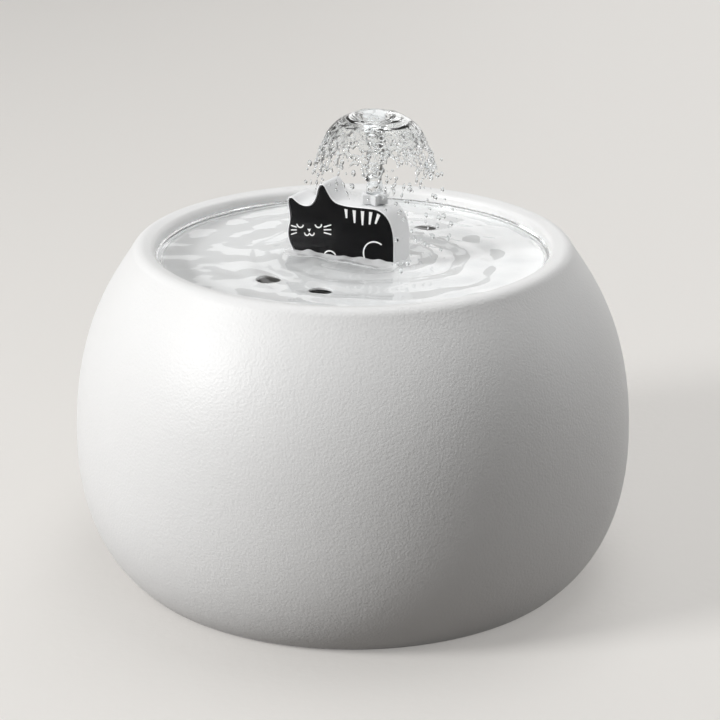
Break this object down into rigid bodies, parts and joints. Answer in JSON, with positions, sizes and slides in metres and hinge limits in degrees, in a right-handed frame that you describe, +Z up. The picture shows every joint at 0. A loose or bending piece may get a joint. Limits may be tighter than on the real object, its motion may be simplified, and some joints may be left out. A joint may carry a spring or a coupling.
{
  "type": "pet water fountain",
  "caption": "Round ceramic pet water fountain with a submerged pump, a filter, a lift-out tray and a cat-shaped spout that throws a dome of water.",
  "frame": {"origin": "on the floor, under the middle of the bowl", "axes": "+Z up; +Y to the rear, where the power inlet is; +X to the right, seen from the front"},
  "size_m": [0.21, 0.2099, 0.1756],
  "materials": {
    "bowl_glaze": "matte, fine pebbled glaze outside, smoother inside",
    "pad_rubber": "matte",
    "black_plastic": "fine moulded grain",
    "white_plastic": "satin moulded",
    "box_plastic": "translucent satin",
    "shell_plastic": "satin moulded",
    "face_black": "satin",
    "marking_white": "printed, matte",
    "nozzle_grey": "satin moulded",
    "pale_silicone": "soft satin",
    "grey_silicone": "soft satin",
    "foam": "open-cell foam",
    "filter_cloth": "non-woven, with carbon grains",
    "core_steel": "stacked laminations",
    "copper_wire": "enamelled winding",
    "board_green": "solder mask",
    "potting": "cast resin",
    "magnet": "sintered",
    "shaft_ceramic": "ground",
    "contact_metal": "plated",
    "lead_rubber": "smooth jacket",
    "clear_plastic": "satin moulded",
    "water": "clear"
  },
  "bodies": {
    "bowl": {"bowl": "bowl_glaze", "foot_pads": "pad_rubber", "inlet_body": "black_plastic", "inlet_seal": "grey_silicone", "inlet_nut": "black_plastic", "inlet_contacts": "contact_metal", "pump_lead": "lead_rubber", "lead_grommet": "grey_silicone", "suction_cups": "grey_silicone", "pump_box": "box_plastic", "pump_housing": "black_plastic", "stator_core": "core_steel", "stator_coil": "copper_wire", "pump_board": "board_green", "pump_potting": "potting", "pump_shaft": "shaft_ceramic", "rear_bush": "lead_rubber", "foam_block": "foam", "riser_tube": "clear_plastic"},
    "rotor": {"impeller": "white_plastic", "rotor_magnet": "magnet"},
    "pump_cover": {"impeller_cover": "black_plastic", "front_bush": "lead_rubber"},
    "slider": {"flow_slider": "nozzle_grey"},
    "lid": {"box_lid": "white_plastic"},
    "cartridge": {"filter_frame": "white_plastic", "filter_pad": "filter_cloth"},
    "tray": {"tray": "white_plastic", "tray_gasket": "pale_silicone", "riser_seal": "pale_silicone"},
    "spout": {"spout_shell": "shell_plastic", "spout_back": "shell_plastic", "face_plate": "face_black", "face_markings": "marking_white", "spout_stem": "clear_plastic", "stem_seal": "grey_silicone"},
    "nozzle": {"nozzle": "nozzle_grey", "water_jet": "water"}
  },
  "joints": [
    {"name": "impeller_spin", "type": "hinge", "parent": "bowl", "child": "rotor", "pos_m": [0.0005, 0.005, 0.034], "axis": [0, 1, 0], "continuous": true},
    {"name": "cover_pull", "type": "slide", "parent": "bowl", "child": "pump_cover", "axis": [0, -1, 0], "range_m": [0, 0.008]},
    {"name": "flow_slide", "type": "slide", "parent": "pump_cover", "child": "slider", "axis": [1, 0, 0], "range_m": [0, 0.007]},
    {"name": "lid_lift", "type": "slide", "parent": "bowl", "child": "lid", "axis": [0, 0, 1], "range_m": [0, 0.012]},
    {"name": "cartridge_lift", "type": "slide", "parent": "lid", "child": "cartridge", "axis": [0, 0, 1], "range_m": [0, 0.014]},
    {"name": "tray_lift", "type": "slide", "parent": "bowl", "child": "tray", "axis": [0, 0, 1], "range_m": [0, 0.06]},
    {"name": "spout_lift", "type": "slide", "parent": "tray", "child": "spout", "axis": [0, 0, 1], "range_m": [0, 0.03]},
    {"name": "nozzle_lift", "type": "slide", "parent": "spout", "child": "nozzle", "axis": [0, 0, 1], "range_m": [0, 0.008]}
  ]
}
